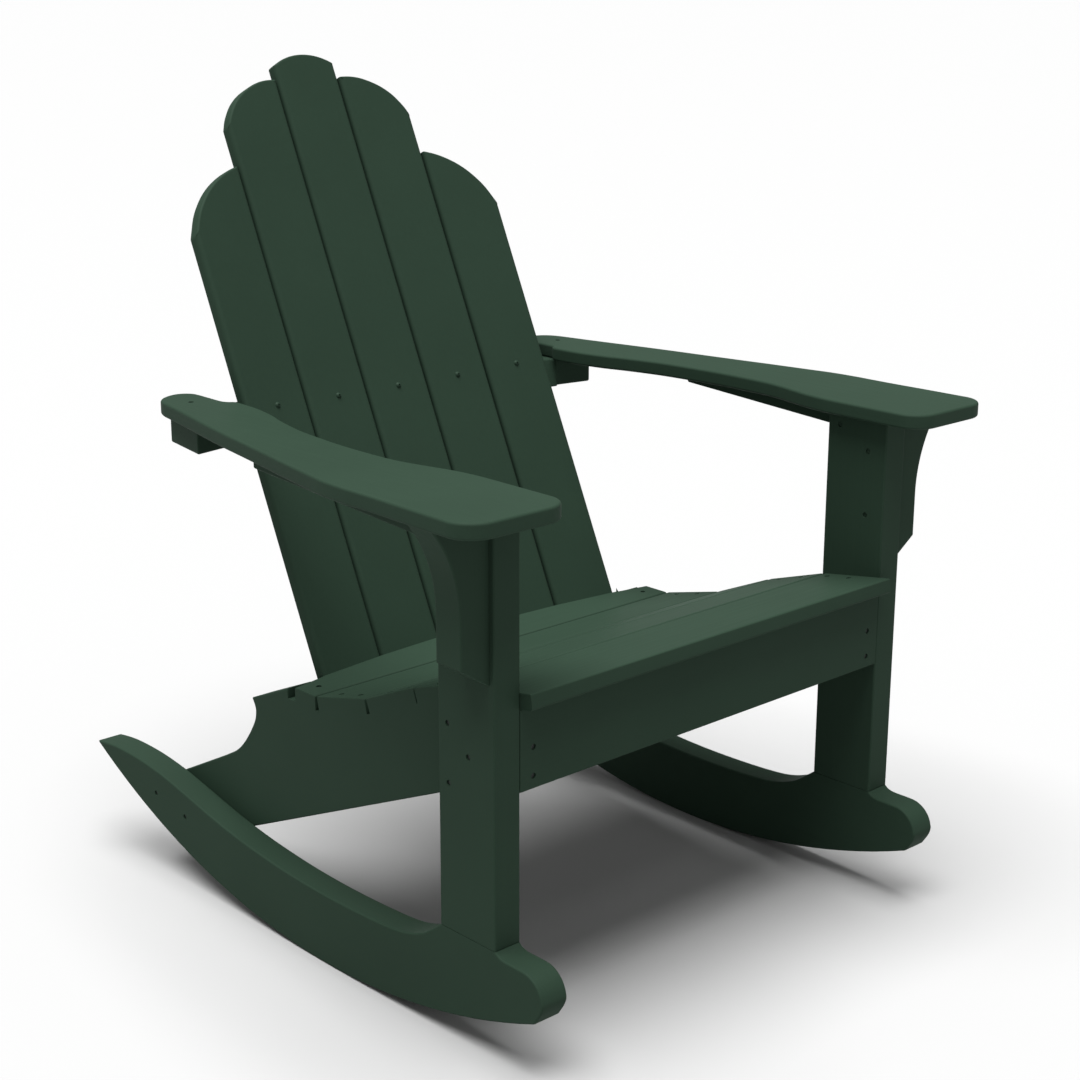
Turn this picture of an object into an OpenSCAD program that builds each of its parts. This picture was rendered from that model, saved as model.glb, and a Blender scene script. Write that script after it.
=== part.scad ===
// Rocking adirondack chair: flat boards screwed together, five back slats on an arc,
// a scooped slat seat, flared arms, and two long rockers.
// Frame: +Z up, the chair faces -Y, X = 0 is the plane of symmetry, and the floor is Z = 0.
// The origin is midway along the chair's depth. Left and right are the sitter's:
// left is +X. The design runs in y measured from the front face of the legs.

/* [Boards] */
// Thickness of the thin boards: seat, arms and apron
board_t = 17.6; // [16:0.1:19]
// Thickness of the thick boards: legs, stringers, rockers and rails
frame_t = 34.7; // [32:0.1:36.5]
// Clear width between the two legs
inner_w = 570.6; // [560:0.1:584]

/* [Seat] */
// Height of the seat's front edge
seat_z = 400.7; // [396:0.1:405]
// Gap between seat slats
seat_gap = 3.2; // [2.6:0.1:4]
// Height of the apron's lower edge
apron_z = 290.5; // [284:0.5:296]

/* [Back] */
// Recline of the back from vertical, in degrees
recline = 24.8; // [24:0.1:25.6]
// Thickness of the back slats
slat_t = 15; // [14:0.1:17]
// Width of one back slat
slat_w = 93; // [91:0.1:93.6]
// Distance between the centres of neighbouring back slats
slat_pitch = 95.1; // [94.7:0.1:96.5]
// Radius of the arc on which the back slats stand
back_r = 1794; // [1600:1:2100]
// Length of the middle back slat above the arm level
slat_rise = 441; // [428:1:452]
// Length of the back slats below the arm level
slat_drop = 380; // [374:1:386]

/* [Arms] */
// Height of the top of the arms
arm_z = 602.6; // [599:0.1:606]
// Depth of the bracket under each arm
bracket_t = 38; // [34:0.5:40]

/* [Legs] */
// Width of a leg, front to back
leg_w = 85.9; // [83:0.1:88]
// Height of the leg's foot, where it stands on the rocker
foot_z = 126; // [125.5:0.1:126.5]

/* [Rockers] */
// Radius of the rolling edge
rocker_r = 933.4; // [925:0.1:942]
// Distance of the lowest point of the rolling edge behind the leg's front face
rocker_y = 291.4; // [289:0.1:294]

/* [Screws] */
// Radius of a screw's head
head_r = 3.1; // [2.8:0.1:3.3]
// Radius of a screw's shank
shank_r = 1.9; // [1.6:0.1:2.2]
// Depth of a sunk head below the surface
sink = 1.6; // [1:0.1:2]

/* [Hidden] */

lumber = [0.205, 0.285, 0.235];
steel = [0.10, 0.12, 0.11];
$fn = 48;
fit = 0.05;              // space round a screw in its hole

xi = inner_w / 2;        // inner face of a leg, outer face of a stringer
xo = xi + frame_t;       // outer face of a leg
xs = xi - frame_t;       // inner face of a stringer
arm_b = arm_z - board_t; // underside of the arms, top of the legs

// ---- outlines ----

// A smooth curve through chosen points (y, z) or (y, x)
function blend4(a, b, c, d, t) =
    0.5 * (2 * b + (c - a) * t + (2 * a - 5 * b + 4 * c - d) * t * t + (3 * b - a - 3 * c + d) * t * t * t);
function curve(p, n = 4) = [
    for (i = [0 : len(p) - 2], k = [0 : n - 1])
        blend4(p[max(i - 1, 0)], p[i], p[i + 1], p[min(i + 2, len(p) - 1)], k / n),
    p[len(p) - 1]];
function arc(c, r, a0, a1, n) = [for (k = [0 : n]) c + r * [cos(a0 + (a1 - a0) * k / n), sin(a0 + (a1 - a0) * k / n)]];
function flip(p) = [for (i = [len(p) - 1 : -1 : 0]) p[i]];

// Rocker: the top edge from the front of the leg round the nose, and from the leg to the tail
nose = [[0, foot_z], [-5, 122.5], [-14, 120.7], [-30, 120.6], [-44, 120.1], [-53, 117.4], [-61, 112],
        [-67, 104], [-70, 95.5], [-70.3, 90], [-68, 83], [-63.5, 75.5], [-58, 67.5], [-50, 57]];
crest = [[leg_w, foot_z], [92, 121.5], [104, 112.5], [120, 102.5], [147, 93.5], [180, 89.2], [234, 86.6], [294, 86],
         [354, 88], [412, 92.6], [460, 98.4], [505, 105.8], [548, 114.8], [588, 123], [624, 129.5], [668, 134.3],
         [712, 135.5], [742, 133.7], [778, 128.4]];

// Stringer: the curve from the rear top corner down to the tail
haunch = [[467, 263.2], [461.5, 254], [460.6, 246], [463, 236], [471.5, 221.5], [483, 206], [494, 194], [505, 185.2],
          [516, 178.8], [528, 172.2]];

// Arm: the outer and the inner edge, front to rear, as (distance from the centre plane, y)
arm_out = [[401.5, -24], [401, 6], [400.2, 40], [399, 76], [398.8, 112], [399, 134], [396.7, 170], [390.3, 206],
           [381.6, 254], [372, 302], [362.5, 352], [353, 404], [341.1, 461], [327, 524], [319.2, 563]];
arm_tail = [[314.8, 582], [308.2, 595], [297, 604], [281, 608.8], [269, 605], [262, 596.5], [260.2, 586],
            [260.3, 564], [260.3, 540], [257, 531.5]];
arm_in = [[250.8, 524], [251.3, 497], [253.4, 474], [261, 438], [270.2, 409], [281.5, 361], [287.3, 314],
          [290.6, 272], [291.2, 240], [290.4, 196], [286, 165], [278.5, 135], [272.5, 110], [269.2, 85], [268.3, 60],
          [268.2, 30], [268.2, -20]];

// ---- seat profile: the top of each slat, front to rear ----
seat_top = [[-15, seat_z], [82.4, seat_z - 15.6], [167.6, seat_z - 42.7], [250.8, seat_z - 78.5],
            [340.6, seat_z - 100.7], [430, seat_z - 100.9]];
function unit(v) = v / norm(v);
function down(a, b) = let(d = unit(b - a)) [d[1], -d[0]];
function miter(a, b, c, t) = let(m = down(a, b), n = down(b, c)) b + t * (m + n) / (1 + m * n);
function drop_at(a, b, y, t) = let(p = a + t * down(a, b), d = b - a) p[1] + (y - p[0]) * d[1] / d[0];

seat_low = seat_top[4][1] - board_t;            // underside of the rear slat
function rake_y(z) = back_y + (z - back_z) * tan(recline);
back_y = 535.5;                                  // front face of the middle back slat ...
back_z = 578.8;                                  // ... at this height
notch_y = 394;                                   // the stringers step up here, a little behind the rear slat's ends
slat_end_y = 380;                                // rear corner of the rear slat

// The whole depth of the chair, from the rocker's nose to its tail
y_lo = -70.5;
y_hi = rocker_y + sqrt(pow(rocker_r, 2) - pow(rocker_r - 130.15, 2));
y_mid = (y_lo + y_hi) / 2;

// ---- helpers ----

// Move from the design's y to the chair's own frame
module placed() { translate([0, -y_mid, 0]) children(); }

// A flat board: an outline (y, z) extruded in x from x0 to x1
module side_board(x0, x1) {
    multmatrix([[0, 0, 1, x0], [1, 0, 0, 0], [0, 1, 0, 0], [0, 0, 0, 1]])
        linear_extrude(x1 - x0) children();
}
// Disc of the rolling edge, shrunk by c, as a side outline
module roll_disc(c = 0) { translate([rocker_y, rocker_r]) circle(r = rocker_r - c, $fn = 720); }

// The back's own frame: x across, y to the rear, z up along the slats.
// Slat i stands on the arc: i = -2 .. 2 from -X to +X
module back_frame() { translate([0, back_y, back_z]) rotate([-recline, 0, 0]) children(); }
module slat_frame(i) {
    back_frame() translate([0, -back_r, 0]) rotate([0, 0, -i * slat_pitch / back_r * 180 / PI])
        translate([0, back_r, 0]) children();
}
// The space behind (or in front of) all the slats, to cut the rails and the rear seat slat flush.
// Its parts fan out from the arc's axis, and the outer two reach further out
module slat_space(y0, y1, z0, z1, reach = 0) {
    half = tan(slat_pitch / back_r * 90 / PI);
    for (i = [-2 : 2])
        slat_frame(i) translate([0, 0, z0]) linear_extrude(z1 - z0) polygon([
            [-(back_r + y0) * half - 0.3 - (i == -2 ? reach : 0), y0], [(back_r + y0) * half + 0.3 + (i == 2 ? reach : 0), y0],
            [(back_r + y1) * half + 0.3 + (i == 2 ? reach : 0), y1], [-(back_r + y1) * half - 0.3 - (i == -2 ? reach : 0), y1]]);
}

// ---- screws: local +Z points out of the surface, and z = 0 is the surface ----
module screw(l, s = sink) {
    translate([0, 0, -s]) rotate_extrude() polygon([[0, 0.0], [1.1, 0.0], [1.1, -0.9], [1.3, 0.0], [head_r - 0.5, 0.0],
        [head_r, -0.5], [head_r, -1.0], [shank_r, -2.4], [shank_r, -l + 5], [0.4, -l], [0, -l]]);
}
module screw_hole(l, s = sink) {
    translate([0, 0, -s - 1.0]) cylinder(r = head_r + fit, h = s + 4);
    translate([0, 0, -s - 2.4]) cylinder(r1 = shank_r + fit, r2 = head_r + fit, h = 1.4 + 0.001);
    translate([0, 0, -s - l - 0.5]) cylinder(r = shank_r + fit, h = l);
}
// Pan-head screw of the back, whose head stands on the surface
module pan_screw(l) {
    rotate_extrude() polygon(concat([[0, 1.6], [1.2, 1.6], [1.2, 2.5]], arc([0, -1.4], 3.95, 74, 21, 8),
        [[3.7, 0], [shank_r, 0], [shank_r, -l + 5], [0.4, -l], [0, -l]]));
}
module pan_hole(l) { translate([0, 0, -l - 0.5]) cylinder(r = shank_r + fit, h = l + 1.5); }

// ---- where the screws go; sd is +1 on the left and -1 on the right ----
module at_leg(sd) for (p = [[71.5, 355], [39.7, 327], [70.3, 290]])
    translate([sd * xo, p[0], p[1]]) rotate([0, sd * 90, 0]) children();
module at_bracket(sd) for (z = [546, 469])
    translate([sd * xi, 26, z]) rotate([0, -sd * 90, 0]) children();
module at_cleat_side(sd)
    translate([sd * xi, 68.5, 571]) rotate([0, -sd * 90, 0]) children();
cleat_screw_l = 28;
module at_cleat_up(sd) for (y = [110, 200])
    translate([sd * (xo + frame_t / 2), y, cleat_b(y)]) rotate([180, 0, 0]) children();
module at_arm(sd) translate([sd * 291, 558, arm_z]) children();
module at_rocker(sd) for (p = [[632, 100], [569, 88.5]])
    translate([sd * xo, p[0], p[1]]) rotate([0, sd * 90, 0]) children();
foot_y = [22, 62];
function roll_z(y) = rocker_r - sqrt(pow(rocker_r, 2) - pow(y - rocker_y, 2));
module at_foot(sd) for (y = foot_y) translate([sd * (xi + frame_t / 2), y, roll_z(y)]) rotate([180, 0, 0]) children();
module at_apron(sd) for (z = [336, 304.5]) translate([sd * (xi - 18), 0, z]) rotate([90, 0, 0]) children();
// Two screws at each end of a seat slat, one at each end of the rear slat
seat_screw_x = xi - 14;
module at_seat(i, sd) {
    a = seat_top[i]; b = seat_top[i + 1]; d = unit(b - a); ang = atan2(d[1], d[0]);
    for (t = i == 4 ? [23.5] : i == 0 ? [50, 82.5] : [26, 62])
        let(p = a + t * d) translate([sd * (i == 4 ? xi - 22 : seat_screw_x), p[0], p[1]]) rotate([ang, 0, 0]) children();
}
module at_upper_back(i) slat_frame(i) translate([0, 0, 6.5]) rotate([90, 0, 0]) children();
module at_lower_back(i) slat_frame(i) translate([0, slat_t, -348]) rotate([-90, 0, 0]) children();
module at_lower_rail() for (x = [-150, 0, 150]) translate([x, 362, seat_low - frame_t]) rotate([180, 0, 0]) children();

// ---- rockers ----
module rocker_outline() intersection() {
    polygon(concat(flip(curve(nose, 5)), curve(crest, 5), [[800, 60], [800, -40], [-20, -40]]));
    roll_disc();
}
module rocker(sd) color(lumber) placed() difference() {
    side_board(sd > 0 ? xi : -xo, sd > 0 ? xo : -xi) rocker_outline();
    at_rocker(sd) screw_hole(55);
    at_foot(sd) { translate([0, 0, -45]) cylinder(r = 6, h = 60); screw_hole(90, 45); }
}
module rocker_left() { rocker(1); }
module rocker_right() { rocker(-1); }

// ---- legs ----
module leg(sd) color(lumber) placed() difference() {
    translate([sd > 0 ? xi : -xo, 0, foot_z]) cube([frame_t, leg_w, arm_b - foot_z]);
    at_leg(sd) screw_hole(60);
    at_bracket(sd) screw_hole(60);
    at_cleat_side(sd) screw_hole(60);
    at_foot(sd) screw_hole(90, 45);
}
module leg_left() { leg(1); }
module leg_right() { leg(-1); }

// ---- stringers: from the apron back and down to the rockers' tails ----
module stringer_outline() intersection() {
    polygon(concat(
        [[board_t, apron_z], [board_t, drop_at(seat_top[0], seat_top[1], board_t, board_t)]],
        [for (i = [1 : 4]) miter(seat_top[i - 1], seat_top[i], seat_top[min(i + 1, 5)], board_t)],
        [[notch_y, seat_low], [notch_y, seat_low + board_t - 5]],
        curve(haunch, 4), [[606, 132.2], [655, 107.5], [652, 18], [37.5, apron_z]]));
    roll_disc(12);
}
module stringer(sd) color(lumber) placed() difference() {
    side_board(sd > 0 ? xs : -xi, sd > 0 ? xi : -xs) stringer_outline();
    at_leg(sd) screw_hole(60);
    at_rocker(sd) screw_hole(55);
    at_apron(sd) screw_hole(50);
    for (i = [0 : 4]) at_seat(i, sd) screw_hole(45);
}
module stringer_left() { stringer(1); }
module stringer_right() { stringer(-1); }

// ---- front apron, between the legs under the front slat ----
module front_apron() color(lumber) placed() difference() {
    side_board(-xi, xi) polygon([[0, apron_z], [board_t, apron_z],
        [board_t, drop_at(seat_top[0], seat_top[1], board_t, board_t)],
        [0, drop_at(seat_top[0], seat_top[1], 0, board_t)]]);
    for (sd = [-1, 1]) at_apron(sd) screw_hole(50);
}

// ---- seat slats ----
module seat_slat(i) color(lumber) placed() difference() {
    let(a = seat_top[i], b = seat_top[i + 1], d = unit(b - a), l = norm(b - a),
        g0 = i == 0 ? 0 : seat_gap / 2, g1 = i == 4 ? 0 : seat_gap / 2)
        translate([-xi, a[0], a[1]]) rotate([atan2(d[1], d[0]), 0, 0])
            translate([0, g0, -board_t]) cube([2 * xi, l - g0 - g1, board_t]);
    if (i == 4) {
        slat_space(0, 80, -360, -240, 6);
        for (sd = [0, 1]) mirror([sd, 0, 0]) translate([0, 0, 200]) linear_extrude(200)
            polygon([[240, 388.6], [xi, slat_end_y], [xi + 1, slat_end_y], [xi + 1, 470], [240, 470]]);
    }
    for (sd = [-1, 1]) at_seat(i, sd) screw_hole(45);
    if (i == 4) at_lower_rail() screw_hole(45);
}
module seat_slat_1() { seat_slat(0); }
module seat_slat_2() { seat_slat(1); }
module seat_slat_3() { seat_slat(2); }
module seat_slat_4() { seat_slat(3); }
module seat_slat_5() { seat_slat(4); }

// ---- back slats: u runs from the middle of the chair outwards, v up the slat ----
hw = slat_w / 2;
top_mid_r = 85;
top_mid_c = 3;           // radius of the middle slat's two corners
top_mid_h = sqrt(pow(top_mid_r - top_mid_c, 2) - pow(hw - top_mid_c, 2));
top_mid_a = atan2(top_mid_h, hw - top_mid_c);
top_mid = concat(arc([hw - top_mid_c, slat_rise - top_mid_r + top_mid_h], top_mid_c, 0, top_mid_a - 4, 4),
    arc([0, slat_rise - top_mid_r], top_mid_r, top_mid_a + 0.4, 179.6 - top_mid_a, 20),
    arc([top_mid_c - hw, slat_rise - top_mid_r + top_mid_h], top_mid_c, 184 - top_mid_a, 180, 4));
top_next = [[-hw, slat_rise - 31.2], [-30.7, slat_rise - 31.7], [-15, slat_rise - 34.9], [1.4, slat_rise - 41.6],
            [15.2, slat_rise - 49.7], [28, slat_rise - 60.9], [38.8, slat_rise - 75.3], [hw - 2.5, slat_rise - 85.2],
            [hw, slat_rise - 90.8]];
top_outer = [[-hw, slat_rise - 138.4], [-29.7, slat_rise - 143.9], [-15, slat_rise - 150.8], [-0.5, slat_rise - 159.8],
             [12.7, slat_rise - 170.7], [24.3, slat_rise - 183.4], [33.5, slat_rise - 196.3], [hw - 4.5, slat_rise - 213],
             [hw, slat_rise - 222.6]];
module slat_outline(i) {
    polygon(concat([[-hw, -slat_drop], [hw, -slat_drop]],
        i == 0 ? top_mid : flip(curve(abs(i) == 1 ? top_next : top_outer, 4))));
}
module back_slat(i) color(lumber) placed() difference() {
    slat_frame(i) mirror([i < 0 ? 1 : 0, 0, 0]) translate([0, slat_t, 0]) rotate([90, 0, 0])
        linear_extrude(slat_t) slat_outline(i);
    at_upper_back(i) pan_hole(45);
    at_lower_back(i) screw_hole(45);
}
module back_slat_1() { back_slat(-2); }
module back_slat_2() { back_slat(-1); }
module back_slat_3() { back_slat(0); }
module back_slat_4() { back_slat(1); }
module back_slat_5() { back_slat(2); }

// ---- upper back rail: a deep board under the rear of the arms, its front recessed for the slats ----
rail_r = 1645;           // radius of the front edge beside the recess
rail_front = 546.3;
rail_back = 593;         // the rear edge is straight
rail_in = 257;           // half the width of the recess
rail_x = 311.3;          // half the length along the front edge ...
rail_rear_x = 298;       // ... and along the rear edge
function on_arc(y, x) = [x, y - rail_r + sqrt(pow(rail_r, 2) - x * x)];
module upper_back_rail() color(lumber) placed() difference() {
    translate([0, 0, arm_b - frame_t]) linear_extrude(frame_t) polygon(concat(
        [[-rail_rear_x, rail_back], [rail_rear_x, rail_back]],
        [for (k = [8 : -1 : 0]) on_arc(rail_front, rail_in + k * (rail_x - rail_in) / 8)],
        [for (k = [12 : -1 : -12]) on_arc(rail_front - 8.5, k * rail_in / 12)],
        [for (k = [0 : 8]) on_arc(rail_front, -rail_in - k * (rail_x - rail_in) / 8)]));
    intersection() {
        slat_space(-60, slat_t, -60, 60, 40);
        translate([-rail_in, 0, 0]) cube([2 * rail_in, 900, 900]);
    }
    for (i = [-2 : 2]) at_upper_back(i) pan_hole(45);
    for (sd = [-1, 1]) at_arm(sd) screw_hole(45);
}

// ---- lower back rail: under the rear seat slat, its rear edge bevelled to the back ----
module lower_back_rail() color(lumber) placed() difference() {
    translate([-xs, 318, seat_low - frame_t]) cube([2 * xs, 110, frame_t]);
    slat_space(0, 120, -420, -260, 40);
    for (i = [-2 : 2]) at_lower_back(i) screw_hole(45);
    at_lower_rail() screw_hole(45);
}

// ---- arms ----
arm_front = -57.2;
module arm_outline() {
    polygon(concat(
        arc([268.2 + 30, arm_front + 30], 30, 180, 270, 12),
        arc([401.8 - 32, arm_front + 32], 32, 270, 360, 12),
        curve(concat(arm_out, arm_tail, arm_in), 4)));
}
module arm(sd) color(lumber) placed() difference() {
    mirror([sd < 0 ? 1 : 0, 0, 0]) translate([0, 0, arm_b]) linear_extrude(board_t) arm_outline();
    at_arm(sd) screw_hole(45);
    at_cleat_up(sd) screw_hole(cleat_screw_l);
}
module arm_left() { arm(1); }
module arm_right() { arm(-1); }

// ---- arm brackets, on the outside of the legs ----
bracket_x = 36.5;        // how far the bracket's straight edge stands out from the leg
bracket_y = 6.8;
module arm_bracket(sd) color(lumber) placed() difference() {
    mirror([sd < 0 ? 1 : 0, 0, 0]) translate([0, bracket_y + bracket_t, 0]) rotate([90, 0, 0])
        linear_extrude(bracket_t) difference() {
            polygon([[xo, 411.8], [xo + bracket_x, 435.8], [xo + bracket_x, 486.4], [xo + 90, 486.4],
                     [xo + 90, arm_b], [xo, arm_b]]);
            translate([xo + bracket_x + 150.5, 486.4]) circle(r = 150.5, $fn = 180);
            translate([xo + bracket_x, 470]) square([80, 16.4]);
        }
    at_bracket(sd) screw_hole(60);
}
module arm_bracket_left() { arm_bracket(1); }
module arm_bracket_right() { arm_bracket(-1); }

// ---- arm cleats: tapered boards under the arms, on the outside of the legs ----
function cleat_b(y) = 556.1 + (y - 44.8) * 0.0601;
cleat_y0 = bracket_y + bracket_t;
cleat_y1 = 346;
module arm_cleat(sd) color(lumber) placed() difference() {
    side_board(sd > 0 ? xo : -xo - frame_t, sd > 0 ? xo + frame_t : -xo) polygon([
        [cleat_y0, cleat_b(cleat_y0)], [cleat_y1 - 1.5, cleat_b(cleat_y1 - 1.5)], [cleat_y1, cleat_b(cleat_y1) + 1.5],
        [cleat_y1, arm_b], [cleat_y0, arm_b]]);
    at_cleat_side(sd) screw_hole(60);
    at_cleat_up(sd) screw_hole(cleat_screw_l);
}
module arm_cleat_left() { arm_cleat(1); }
module arm_cleat_right() { arm_cleat(-1); }

// ---- screws, one node for each kind of place ----
module upper_back_screws() color(steel) placed() for (i = [-2 : 2]) at_upper_back(i) pan_screw(45);
module lower_back_screws() color(steel) placed() for (i = [-2 : 2]) at_lower_back(i) screw(45);
module seat_screws() color(steel) placed() for (i = [0 : 4], sd = [-1, 1]) at_seat(i, sd) screw(45);
module lower_rail_screws() color(steel) placed() at_lower_rail() screw(45);
module apron_screws() color(steel) placed() for (sd = [-1, 1]) at_apron(sd) screw(50);
module leg_screws() color(steel) placed() for (sd = [-1, 1]) at_leg(sd) screw(60);
module bracket_screws() color(steel) placed() for (sd = [-1, 1]) { at_bracket(sd) screw(60); at_cleat_side(sd) screw(60); }
module cleat_screws() color(steel) placed() for (sd = [-1, 1]) at_cleat_up(sd) screw(cleat_screw_l);
module arm_screws() color(steel) placed() for (sd = [-1, 1]) at_arm(sd) screw(45);
module rocker_screws() color(steel) placed() for (sd = [-1, 1]) at_rocker(sd) screw(55);
module foot_screws() color(steel) placed() for (sd = [-1, 1]) at_foot(sd) screw(90, 45);

rocker_left();
rocker_right();
leg_left();
leg_right();
stringer_left();
stringer_right();
front_apron();
seat_slat_1();
seat_slat_2();
seat_slat_3();
seat_slat_4();
seat_slat_5();
back_slat_1();
back_slat_2();
back_slat_3();
back_slat_4();
back_slat_5();
upper_back_rail();
lower_back_rail();
arm_left();
arm_right();
arm_bracket_left();
arm_bracket_right();
arm_cleat_left();
arm_cleat_right();
upper_back_screws();
lower_back_screws();
seat_screws();
lower_rail_screws();
apron_screws();
leg_screws();
bracket_screws();
cleat_screws();
arm_screws();
rocker_screws();
foot_screws();
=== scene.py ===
import math

import bmesh
import bpy
import numpy as np
from mathutils import Matrix, Vector, kdtree


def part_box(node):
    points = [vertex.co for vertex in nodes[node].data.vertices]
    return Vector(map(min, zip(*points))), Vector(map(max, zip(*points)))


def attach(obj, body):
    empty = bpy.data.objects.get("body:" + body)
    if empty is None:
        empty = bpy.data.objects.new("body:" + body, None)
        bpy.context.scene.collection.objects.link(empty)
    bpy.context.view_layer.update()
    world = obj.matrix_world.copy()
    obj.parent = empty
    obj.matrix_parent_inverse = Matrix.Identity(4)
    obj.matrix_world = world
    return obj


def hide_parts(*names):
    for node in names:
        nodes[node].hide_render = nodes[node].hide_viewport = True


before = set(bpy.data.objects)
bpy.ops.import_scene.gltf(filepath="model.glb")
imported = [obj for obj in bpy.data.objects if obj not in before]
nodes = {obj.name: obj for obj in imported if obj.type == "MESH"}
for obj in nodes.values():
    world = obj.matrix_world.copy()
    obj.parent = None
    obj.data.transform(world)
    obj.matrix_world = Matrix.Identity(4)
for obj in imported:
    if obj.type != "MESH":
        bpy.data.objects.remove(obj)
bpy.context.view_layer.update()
MM = 0.001
Y_MID = 348.16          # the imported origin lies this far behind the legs' front face, in mm

# ---------------------------------------------------------------- camera
AZ, PITCH, ROLL = math.radians(-42.934), math.radians(16.204), math.radians(0.179)
back = Vector((math.sin(AZ) * math.cos(PITCH), -math.cos(AZ) * math.cos(PITCH), math.sin(PITCH)))
cx = Vector((0, 0, 1)).cross(back).normalized()
cy = back.cross(cx)
xr = math.cos(ROLL) * cx + math.sin(ROLL) * cy
yr = -math.sin(ROLL) * cx + math.cos(ROLL) * cy
cam_data = bpy.data.cameras.new("camera")
cam_data.sensor_width = 36.0
cam_data.sensor_fit = "HORIZONTAL"
cam_data.lens = 2015.1 / 1080.0 * 36.0
cam_data.clip_start, cam_data.clip_end = 0.05, 900.0
cam = bpy.data.objects.new("camera", cam_data)
bpy.context.scene.collection.objects.link(cam)
m = Matrix((xr, yr, back)).transposed().to_4x4()
m.translation = Vector((-1.54651, -1.38345 - Y_MID * MM, 1.09974))
cam.matrix_world = m
bpy.context.scene.camera = cam


# ---------------------------------------------------------------- materials
def new_material(name):
    mat = bpy.data.materials.new(name)
    mat.use_nodes = True
    nt = mat.node_tree
    for n in list(nt.nodes):
        nt.nodes.remove(n)
    out = nt.nodes.new("ShaderNodeOutputMaterial")
    bsdf = nt.nodes.new("ShaderNodeBsdfPrincipled")
    nt.links.new(bsdf.outputs["BSDF"], out.inputs["Surface"])
    return mat, nt, bsdf


def lumber(name, rot, shade=1.0):
    """Extruded plastic lumber. rot turns the board's length onto local X."""
    mat, nt, bsdf = new_material(name)
    L = nt.links.new
    N = nt.nodes.new
    coord = N("ShaderNodeTexCoord")
    turn = N("ShaderNodeMapping")
    turn.inputs["Rotation"].default_value = rot
    L(coord.outputs["Object"], turn.inputs["Vector"])
    # long streaks along the board, as the extrusion leaves them
    stretch = N("ShaderNodeMapping")
    stretch.inputs["Scale"].default_value = (6.0, 420.0, 420.0)
    L(turn.outputs["Vector"], stretch.inputs["Vector"])
    streak = N("ShaderNodeTexNoise")
    streak.inputs["Scale"].default_value = 1.0
    streak.inputs["Detail"].default_value = 5.0
    streak.inputs["Roughness"].default_value = 0.6
    L(stretch.outputs["Vector"], streak.inputs["Vector"])
    # slow mottling of the pigment
    mottle = N("ShaderNodeTexNoise")
    mottle.inputs["Scale"].default_value = 9.0
    mottle.inputs["Detail"].default_value = 3.0
    L(coord.outputs["Object"], mottle.inputs["Vector"])
    # fine skin grain
    grain = N("ShaderNodeTexNoise")
    grain.inputs["Scale"].default_value = 1400.0
    grain.inputs["Detail"].default_value = 2.0
    L(coord.outputs["Object"], grain.inputs["Vector"])
    base = (0.0206 * shade, 0.0388 * shade, 0.0258 * shade)
    dark = tuple(c * 0.93 for c in base) + (1.0,)
    light = tuple(c * 1.07 for c in base) + (1.0,)
    ramp = N("ShaderNodeValToRGB")
    ramp.color_ramp.elements[0].position = 0.30
    ramp.color_ramp.elements[0].color = dark
    ramp.color_ramp.elements[1].position = 0.70
    ramp.color_ramp.elements[1].color = light
    mixf = N("ShaderNodeMix")
    mixf.data_type = "FLOAT"
    mixf.inputs[0].default_value = 0.45
    L(streak.outputs["Fac"], mixf.inputs[2])
    L(mottle.outputs["Fac"], mixf.inputs[3])
    L(mixf.outputs[0], ramp.inputs["Fac"])
    L(ramp.outputs["Color"], bsdf.inputs["Base Color"])
    rough = N("ShaderNodeMapRange")
    rough.inputs["From Min"].default_value = 0.3
    rough.inputs["From Max"].default_value = 0.7
    rough.inputs["To Min"].default_value = 0.54
    rough.inputs["To Max"].default_value = 0.66
    L(streak.outputs["Fac"], rough.inputs["Value"])
    L(rough.outputs["Result"], bsdf.inputs["Roughness"])
    add = N("ShaderNodeMix")
    add.data_type = "FLOAT"
    add.inputs[0].default_value = 0.5
    L(streak.outputs["Fac"], add.inputs[2])
    L(grain.outputs["Fac"], add.inputs[3])
    bump = N("ShaderNodeBump")
    bump.inputs["Strength"].default_value = 0.25
    bump.inputs["Distance"].default_value = 0.0004
    L(add.outputs[0], bump.inputs["Height"])
    L(bump.outputs["Normal"], bsdf.inputs["Normal"])
    bsdf.inputs["Specular IOR Level"].default_value = 0.035
    return mat


RX = (0.0, 0.0, 0.0)
RY = (0.0, 0.0, math.radians(90))
RZ = (0.0, math.radians(90), 0.0)
mat_x = lumber("lumber_across", RX)
mat_y = lumber("lumber_fore_aft", RY)
mat_z = lumber("lumber_upright", RZ)


def steel(name, dark, light, metal, spec=0.4):
    """A coated screw head, lightly uneven."""
    mat, nt, bsdf = new_material(name)
    L = nt.links.new
    coord = nt.nodes.new("ShaderNodeTexCoord")
    noise = nt.nodes.new("ShaderNodeTexNoise")
    noise.inputs["Scale"].default_value = 900.0
    L(coord.outputs["Object"], noise.inputs["Vector"])
    ramp = nt.nodes.new("ShaderNodeValToRGB")
    ramp.color_ramp.elements[0].color = dark + (1,)
    ramp.color_ramp.elements[1].color = light + (1,)
    L(noise.outputs["Fac"], ramp.inputs["Fac"])
    L(ramp.outputs["Color"], bsdf.inputs["Base Color"])
    rough = nt.nodes.new("ShaderNodeMapRange")
    rough.inputs["To Min"].default_value = 0.35
    rough.inputs["To Max"].default_value = 0.5
    L(noise.outputs["Fac"], rough.inputs["Value"])
    L(rough.outputs["Result"], bsdf.inputs["Roughness"])
    bsdf.inputs["Metallic"].default_value = metal
    bsdf.inputs["Specular IOR Level"].default_value = spec
    return mat


mat_screw = steel("coated_screw", (0.006, 0.010, 0.008), (0.012, 0.020, 0.015), 0.4)
mat_cap = steel("green_screw", (0.0165, 0.0325, 0.0215), (0.021, 0.039, 0.026), 0.0, 0.045)

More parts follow.
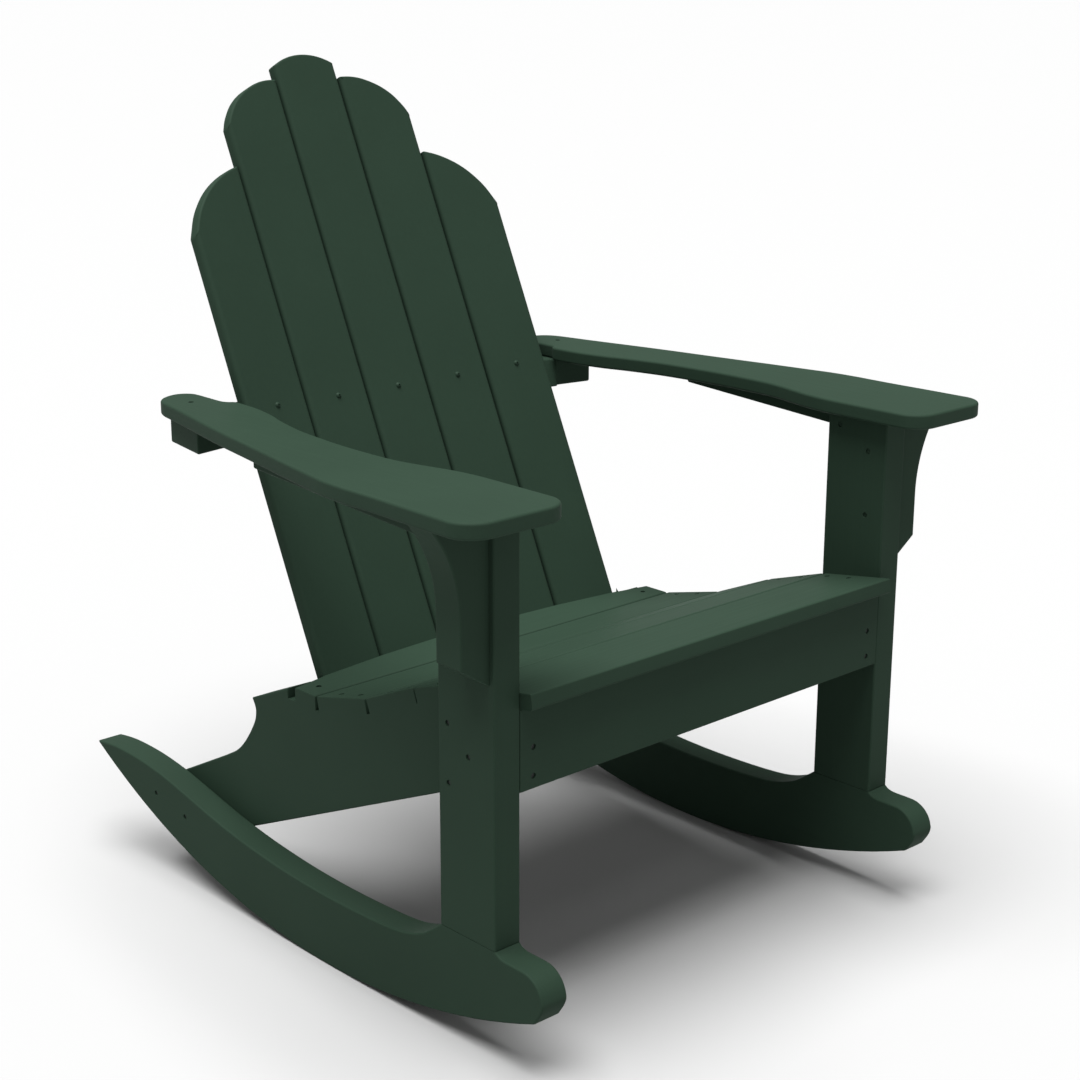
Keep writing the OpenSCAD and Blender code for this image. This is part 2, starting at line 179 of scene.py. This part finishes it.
# ---------------------------------------------------------------- screws: where they are
screw_nodes = [n for n in nodes if n.endswith("_screws")]
pts = []
screw_axes = {}          # node -> [(head top, outward unit vector)]
for n in screw_nodes:
    me = nodes[n].data
    pts += [v.co.copy() for v in me.vertices]
    bm = bmesh.new()
    bm.from_mesh(me)
    bmesh.ops.remove_doubles(bm, verts=bm.verts, dist=2e-6)
    left = set(bm.verts)
    found = []
    while left:
        seed = left.pop()
        island, stack = [seed], [seed]
        while stack:
            v = stack.pop()
            for e in v.link_edges:
                w = e.other_vert(v)
                if w in left:
                    left.discard(w)
                    island.append(w)
                    stack.append(w)
        co = np.array([v.co for v in island], float)
        c = co.mean(0)
        u = np.linalg.svd(co - c, full_matrices=False)[2][0]
        t = (co - c) @ u
        r = np.linalg.norm((co - c) - np.outer(t, u), axis=1)
        if t[r > 2.6 * MM].mean() < 0:
            u, t = -u, -t
        centre = c + np.outer(t, u).mean(0)
        head = co[t > t.max() - 0.05 * MM]
        axis_pt = co[r > 2.6 * MM].mean(0)
        top = axis_pt + u * ((head.mean(0) - axis_pt) @ u)
        found.append((Vector(top), Vector(u)))
    bm.free()
    screw_axes[n] = found
tree = kdtree.KDTree(len(pts))
for i, p in enumerate(pts):
    tree.insert(p, i)
tree.balance()


def near_screw(co, d=2.7 * MM):
    return tree.find(co)[2] < d


for n in screw_nodes:
    o = nodes[n]
    o.data.materials.clear()
    o.data.materials.append(mat_cap if n in ("upper_back_screws", "bracket_screws") else mat_screw)


# ---------------------------------------------------------------- boards with eased edges
def design(co):
    """A vertex as (x, y, z) in mm, with y from the legs' front face."""
    return co.x / MM, co.y / MM + Y_MID, co.z / MM


def outline_faces(bm):
    """Joins coplanar faces, leaves out the walls of screw holes, and keeps only each flat's outer edge."""
    bm.normal_update()
    wall = {f for f in bm.faces if all(near_screw(v.co) for v in f.verts)}
    todo = set(bm.faces) - wall
    flats = []
    while todo:
        seed = todo.pop()
        group, stack = {seed}, [seed]
        while stack:
            f = stack.pop()
            for e in f.edges:
                for g in e.link_faces:
                    if g in todo and seed.normal.angle(g.normal, 9.0) < math.radians(0.3):
                        todo.discard(g)
                        group.add(g)
                        stack.append(g)
        edge = {}
        for f in group:
            for loop in f.loops:
                e = loop.edge
                if sum(1 for g in e.link_faces if g in group) == 1:
                    edge.setdefault(loop.vert, []).append(loop.link_loop_next.vert)
        best = []
        while edge:
            start = next(iter(edge))
            ring, v = [], start
            while v in edge:
                ring.append(v)
                nxt = edge[v].pop()
                if not edge[v]:
                    del edge[v]
                v = nxt
                if v is start:
                    break
            if len(ring) > 2:
                length = sum((ring[i].co - ring[i - 1].co).length for i in range(len(ring)))
                if not best or length > best[0]:
                    best = [length, ring]
        if best:
            flats.append([v.co.copy() for v in best[1]])
    return flats


def sharpen(bm, step):
    """Turns each tight corner that is cut into steps shorter than step back into one point."""
    largest = max(f.calc_area() for f in bm.faces)
    for f in [g for g in bm.faces if len(g.verts) > 12 and g.calc_area() > 0.3 * largest]:
        vs = [v for v in f.verts]
        n = len(vs)
        seg = [(vs[(i + 1) % n].co - vs[i].co) for i in range(n)]
        short = [q.length < step for q in seg]
        if all(short) or not any(short):
            continue
        first = next(i for i in range(n) if short[i] and not short[i - 1])
        i = first
        while i < first + n:
            if not short[i % n]:
                i += 1
                continue
            k = i
            while short[k % n]:
                k += 1
            a, b = seg[(i - 1) % n].normalized(), seg[k % n].normalized()
            if a.angle(b) > math.radians(35):
                p, q = vs[i % n].co.copy(), vs[k % n].co.copy()
                cross = a.cross(b)
                t = (q - p).cross(b).dot(cross) / cross.length_squared
                for j in range(i, k + 1):
                    vs[j % n].co = p + a * t
            i = k
    bmesh.ops.remove_doubles(bm, verts=bm.verts, dist=2e-6)
    bmesh.ops.recalc_face_normals(bm, faces=bm.faces)


def clear_corners(bm, width, share, limit):
    """Takes out an outline's short steps where the rounding has no room for them: the ones whose
    length would turn negative when the outline is offset inwards by the width."""
    bm.normal_update()
    gone = set()
    largest = max(f.calc_area() for f in bm.faces)
    for f in [g for g in bm.faces if len(g.verts) > 6 and g.calc_area() > 0.3 * largest]:
        nrm = f.normal.copy()
        ring = []
        for loop in f.loops:
            e = loop.edge
            w = width * share(e) if len(e.link_faces) == 2 and e.calc_face_angle(0.0) >= limit else 0.0
            ring.append([loop.vert, w])
        while len(ring) > 6:
            n = len(ring)
            d = [(ring[(i + 1) % n][0].co - ring[i][0].co).normalized() for i in range(n)]
            inn = [nrm.cross(v).normalized() for v in d]
            pts_in, turn = [], []
            for i in range(n):
                n0, n1, w0, w1 = inn[i - 1], inn[i], ring[i - 1][1], ring[i][1]
                c = n0.dot(n1)
                turn.append(math.degrees(n0.angle(n1, 0.0)))
                if 1 - c * c < 1e-5:
                    x = n0 * w0
                else:
                    x = n0 * ((w0 - c * w1) / (1 - c * c)) + n1 * ((w1 - c * w0) / (1 - c * c))
                pts_in.append(ring[i][0].co + x)
            length = [(pts_in[(i + 1) % n] - pts_in[i]).dot(d[i]) for i in range(n)]
            worst = min(range(n), key=lambda i: length[i])
            if length[worst] > 0.12 * MM:
                break
            k = worst if turn[worst] < turn[(worst + 1) % n] else (worst + 1) % n
            if turn[k] > 45:
                break
            gone.add(ring[k][0])
            ring[k - 1][1] = max(ring[k - 1][1], ring[k][1])
            del ring[k]
    edges = set()
    for v in gone:
        if len(v.link_edges) == 3:
            edges.add(min(v.link_edges, key=lambda q: q.calc_face_angle(0.0) if len(q.link_faces) == 2 else 9.0))
    if edges:
        bmesh.ops.dissolve_edges(bm, edges=list(edges), use_verts=True)
        bmesh.ops.recalc_face_normals(bm, faces=bm.faces)


def board(node, mat, width, weight=lambda a, b, d: 1.0, segments=4, angle=24):
    """The board's own shape with rounded edges, and the mouths of its screw holes.
    weight(a, b, d) gives the share of width for an edge from a to b (mm) along unit d."""
    src = nodes[node]
    bm = bmesh.new()
    bm.from_mesh(src.data)
    bmesh.ops.remove_doubles(bm, verts=bm.verts, dist=2e-6)
    flats = outline_faces(bm)
    bm.free()
    bm = bmesh.new()
    verts = {}

    def vert(co):
        key = tuple(round(c * 1e6) for c in co)
        if key not in verts:
            verts[key] = bm.verts.new(co)
        return verts[key]

    for ring in flats:
        vs = []
        for co in ring:
            v = vert(co)
            if not vs or vs[-1] is not v:
                vs.append(v)
        if len(vs) > 2:
            bm.faces.new(vs)
    # what is left of the screw holes' insides stands alone within the board, and goes
    todo, shells = set(bm.faces), []
    while todo:
        shell, stack = set(), [todo.pop()]
        while stack:
            f = stack.pop()
            shell.add(f)
            for v in f.verts:
                for g in v.link_faces:
                    if g in todo:
                        todo.discard(g)
                        stack.append(g)
        shells.append(shell)
    outer = max(shells, key=lambda g: sum(f.calc_area() for f in g))
    bmesh.ops.delete(bm, geom=[f for f in bm.faces if f not in outer], context="FACES")
    # vertices in the middle of a straight edge aren't needed
    bm.normal_update()
    loose = [v for v in bm.verts if len(v.link_edges) == 2
             and abs(v.calc_edge_angle(3.0)) < math.radians(0.2)]
    bmesh.ops.dissolve_verts(bm, verts=loose)
    bmesh.ops.recalc_face_normals(bm, faces=bm.faces)
    sharpen(bm, 1.2 * MM)
    limit = math.radians(angle)

    def share(e):
        da, db = Vector(design(e.verts[0].co)), Vector(design(e.verts[1].co))
        return max(0.0, min(1.0, weight(da, db, (db - da).normalized())))

    clear_corners(bm, width * MM, share, limit)
    layer = bm.edges.layers.float.new("bevel_weight_edge")
    open_edges = 0
    for e in bm.edges:
        e[layer] = 0.0
        if not e.is_manifold:
            open_edges += 1
            continue
        if e.calc_face_angle(0.0) < limit:
            continue
        e[layer] = share(e)
    if open_edges:
        print("BOARD", node, "open edges", open_edges)
    me = bpy.data.meshes.new(node + "_board")
    bm.to_mesh(me)
    bm.free()
    me.materials.append(mat)
    for p in me.polygons:
        p.use_smooth = True
    o = bpy.data.objects.new(node + "_board", me)
    bpy.context.scene.collection.objects.link(o)
    bev = o.modifiers.new("eased", "BEVEL")
    bev.limit_method = "WEIGHT"
    bev.width = width * MM
    bev.segments = segments
    bev.profile = 0.5
    bev.use_clamp_overlap = False
    bev.miter_outer = "MITER_SHARP"
    lo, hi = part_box(node)
    mouths = []
    for n in screw_nodes:
        if n == "upper_back_screws":
            continue
        for top, u in screw_axes[n]:
            # the mouth is in this board if the head is inside the board's box
            p = top - u * 0.6 * MM
            if all(lo[k] - 1e-5 < p[k] < hi[k] + 1e-5 for k in range(3)):
                mouths.append((top, u, 46 * MM if n == "foot_screws" else 6 * MM))
    if mouths:
        cb = bmesh.new()
        for top, u, above in mouths:
            rot = u.to_track_quat("Z", "Y").to_matrix().to_4x4()
            # wider than the foot screws' counterbores, whose walls are still in the board
            r = 6.3 * MM if above > 0.04 else 3.25 * MM
            depth = above + 1.2 * MM
            bmesh.ops.create_cone(cb, cap_ends=True, segments=40, radius1=r, radius2=r, depth=depth,
                                  matrix=Matrix.Translation(top + u * (depth / 2 - 1.2 * MM)) @ rot)
        cme = bpy.data.meshes.new(node + "_mouths")
        cb.to_mesh(cme)
        cb.free()
        cutter = bpy.data.objects.new(node + "_mouths", cme)
        bpy.context.scene.collection.objects.link(cutter)
        bl = o.modifiers.new("mouths", "BOOLEAN")
        bl.operation = "DIFFERENCE"
        bl.solver = "EXACT"
        bl.object = cutter
        cutters.append(cutter)
    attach(o, "root")
    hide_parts(node)
    boards.append(o)
    return o


cutters, boards = [], []


def mostly(axis, share=0.9):
    return lambda d: abs(d[axis]) > share


def w_leg(a, b, d):
    return 1.0 if abs(d.z) > 0.9 else 0.5


def at_foot_hole(p):
    feet = [design(top) for top, u in screw_axes["foot_screws"]]
    return any(math.hypot(p.x - x, p.y - y) < 6.6 for x, y, z in feet)


def w_rocker(a, b, d):
    if at_foot_hole(a) and at_foot_hole(b):
        return 0.0
    on_pad = min(a.z, b.z) > 125.4 and min(a.y, b.y) > -0.5 and max(a.y, b.y) < 86.5
    return 0.45 if on_pad else 1.0


def w_stringer(a, b, d):
    if max(a.y, b.y) < 18.5:
        return 0.16
    under_seat = min(a.y, b.y) < 388 and abs(d.x) < 0.9
    if under_seat and (a.z + b.z) / 2 > 307 - 0.4405 * (a.y + b.y) / 2 + 40:
        return 0.0
    return 1.0 if abs(d.x) < 0.9 else 0.5


def w_seat(a, b, d):
    # d.x: the long edges; the top ones are rounded, and the front slat's lower front edge too
    if abs(d.x) > 0.9:
        top = seat_above(a)
        return 1.0 if top or max(a.y, b.y) < -8 else 0.0
    if seat_above(a) and seat_above(b):
        return 0.5
    return 0.0


def w_apron(a, b, d):
    # the long top edge leaves a fine groove under the front slat
    return 0.2 if abs(d.x) < 0.9 else 0.8 if a.z < 300 else 1.0


def w_bracket(a, b, d):
    at_leg = max(abs(a.x), abs(b.x)) < 321.5
    at_arm = min(a.z, b.z) > 582
    low = max(a.z, b.z) < 437
    return 0.16 if at_leg or at_arm else 0.4 if low else 1.0


def w_cleat(a, b, d):
    return 0.2 if min(a.z, b.z) > 582 or max(abs(a.x), abs(b.x)) < 321.5 else 1.0


def w_back(a, b, d):
    """The long front edges of a back slat are rounded the most, so that two slats meet in a V."""
    if slat_front(a) and slat_front(b):
        return 1.0 if (b - a).length > 200 else 0.42
    return 0.35


# middle of the thickness of the seat and of the back, as (y, z) of the surface's top or front
SEAT_TOP = [(-15, 400.7), (82.4, 385.1), (167.6, 358.0), (250.8, 322.2), (340.6, 300.0), (430, 299.8)]


def seat_above(p):
    for (y0, z0), (y1, z1) in zip(SEAT_TOP, SEAT_TOP[1:]):
        if p.y <= y1 or y1 == 430:
            return p.z > z0 + (p.y - y0) * (z1 - z0) / (y1 - y0) - 8.8


def slat_front(p):
    # the slats stand on an arc about an axis that leans back 24.8 degrees
    t = math.radians(24.8)
    y = (p.y - 535.5) * math.cos(t) - (p.z - 578.8) * math.sin(t)
    return math.hypot(p.x, y + 1794.0) < 1794.0 + 7.5


for side in ("left", "right"):
    board("leg_" + side, mat_z, 2.2, w_leg)
    board("rocker_" + side, mat_y, 2.2, w_rocker)
    board("stringer_" + side, mat_y, 2.0, w_stringer)
    board("arm_" + side, mat_y, 3.2, segments=5)
    board("arm_bracket_" + side, mat_z, 2.2, w_bracket)
    board("arm_cleat_" + side, mat_y, 2.0, w_cleat)
for i in range(1, 6):
    board("seat_slat_%d" % i, mat_x, 2.8, w_seat)
    board("back_slat_%d" % i, mat_z, 6.2, w_back, segments=6)
board("front_apron", mat_x, 2.0, w_apron)
board("upper_back_rail", mat_x, 2.4)
board("lower_back_rail", mat_x, 2.0)


def apply_modifiers():
    dg = bpy.context.evaluated_depsgraph_get()
    for o in boards:
        done = bpy.data.meshes.new_from_object(o.evaluated_get(dg), preserve_all_data_layers=True, depsgraph=dg)
        o.modifiers.clear()
        o.data = done


apply_modifiers()
for c in cutters:
    bpy.data.objects.remove(c)
# every edge that wasn't rounded stays crisp, and the flats shade flat
for o in boards:
    bm = bmesh.new()
    bm.from_mesh(o.data)
    for e in bm.edges:
        e.smooth = e.is_manifold and e.calc_face_angle(0.0) < math.radians(34)
    for f in bm.faces:
        f.smooth = True
    bm.to_mesh(o.data)
    bm.free()
    wn = o.modifiers.new("normals", "WEIGHTED_NORMAL")
    wn.keep_sharp = True
    wn.weight = 50
apply_modifiers()

# ---------------------------------------------------------------- floor and light
floor_me = bpy.data.meshes.new("floor")
s = 400.0
floor_me.from_pydata([(-s, -s, 0), (s, -s, 0), (s, s, 0), (-s, s, 0)], [], [(0, 1, 2, 3)])
floor = bpy.data.objects.new("floor", floor_me)
bpy.context.scene.collection.objects.link(floor)
fmat, fnt, fb = new_material("floor_paint")
fb.inputs["Base Color"].default_value = (0.41, 0.41, 0.41, 1)
fb.inputs["Roughness"].default_value = 0.9
fb.inputs["Specular IOR Level"].default_value = 0.1
floor.data.materials.append(fmat)

world = bpy.data.worlds.new("studio")
bpy.context.scene.world = world
world.use_nodes = True
bg = world.node_tree.nodes["Background"]
bg.inputs["Color"].default_value = (1.0, 1.0, 1.0, 1)
bg.inputs["Strength"].default_value = 0.36


def sky_light(name, from_dir, strength, angle):
    """A very wide, soft light, the same over the whole floor."""
    d = bpy.data.lights.new(name, "SUN")
    d.energy = strength
    d.angle = math.radians(angle)
    o = bpy.data.objects.new(name, d)
    o.rotation_euler = Vector(from_dir).to_track_quat("Z", "Y").to_euler()
    bpy.context.scene.collection.objects.link(o)
    return o


sky_light("key_top", (-0.14, 0.0, 1.0), 6.6, 52)

bpy.context.scene.view_settings.view_transform = "Standard"
bpy.context.scene.view_settings.look = "None"
bpy.context.scene.view_settings.exposure = 0.0
bpy.context.scene.view_settings.gamma = 1.0
